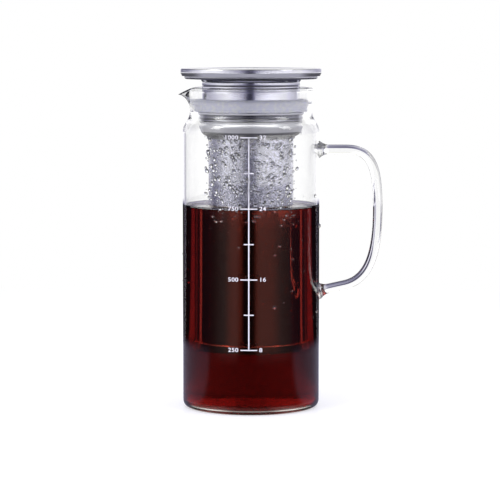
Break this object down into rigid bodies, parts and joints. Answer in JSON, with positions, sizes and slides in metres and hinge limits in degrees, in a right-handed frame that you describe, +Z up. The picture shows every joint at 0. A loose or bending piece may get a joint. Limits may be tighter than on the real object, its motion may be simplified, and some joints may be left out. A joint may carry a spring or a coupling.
{
  "type": "cold brew coffee maker",
  "caption": "Tall glass carafe with a fused glass handle and pouring beak, a lift-out steel mesh infuser held by a silicone stopper ring, and a pull-off steel lid.",
  "frame": {"origin": "middle of the carafe's flat base, on the surface it stands on", "axes": "+Z up along the carafe's axis, +X towards the handle, -X towards the pouring beak"},
  "size_m": [0.1297, 0.0894, 0.2154],
  "materials": {
    "glass": "clear, fire polished",
    "lid_steel": "satin, spun",
    "collar_steel": "bright, drawn",
    "mesh_steel": "fine woven mesh",
    "silicone": "matt, slightly translucent",
    "plug_plastic": "fine moulded"
  },
  "bodies": {
    "carafe": {"glass_carafe": "glass", "glass_handle": "glass"},
    "infuser": {"collar_tube": "collar_steel", "stopper_ring": "silicone", "clamp_ring": "collar_steel"},
    "basket": {"basket_rim": "collar_steel", "mesh_tube": "mesh_steel", "mesh_seam": "collar_steel", "base_band": "collar_steel", "base_mesh": "mesh_steel"},
    "lid": {"lid_top_plate": "lid_steel", "lid_under_plate": "lid_steel", "lid_neck": "collar_steel", "lid_plug": "plug_plastic", "lid_seal_lower": "silicone", "lid_seal_upper": "silicone"}
  },
  "joints": [
    {"name": "infuser_lift", "type": "slide", "parent": "carafe", "child": "infuser", "axis": [0, 0, 1], "range_m": [0, 0.17]},
    {"name": "basket_twist", "type": "hinge", "parent": "infuser", "child": "basket", "pos_m": [0, 0, 0.182], "axis": [0, 0, 1], "range_deg": [0, 90]},
    {"name": "lid_lift", "type": "slide", "parent": "infuser", "child": "lid", "axis": [0, 0, 1], "range_m": [0, 0.03]}
  ]
}
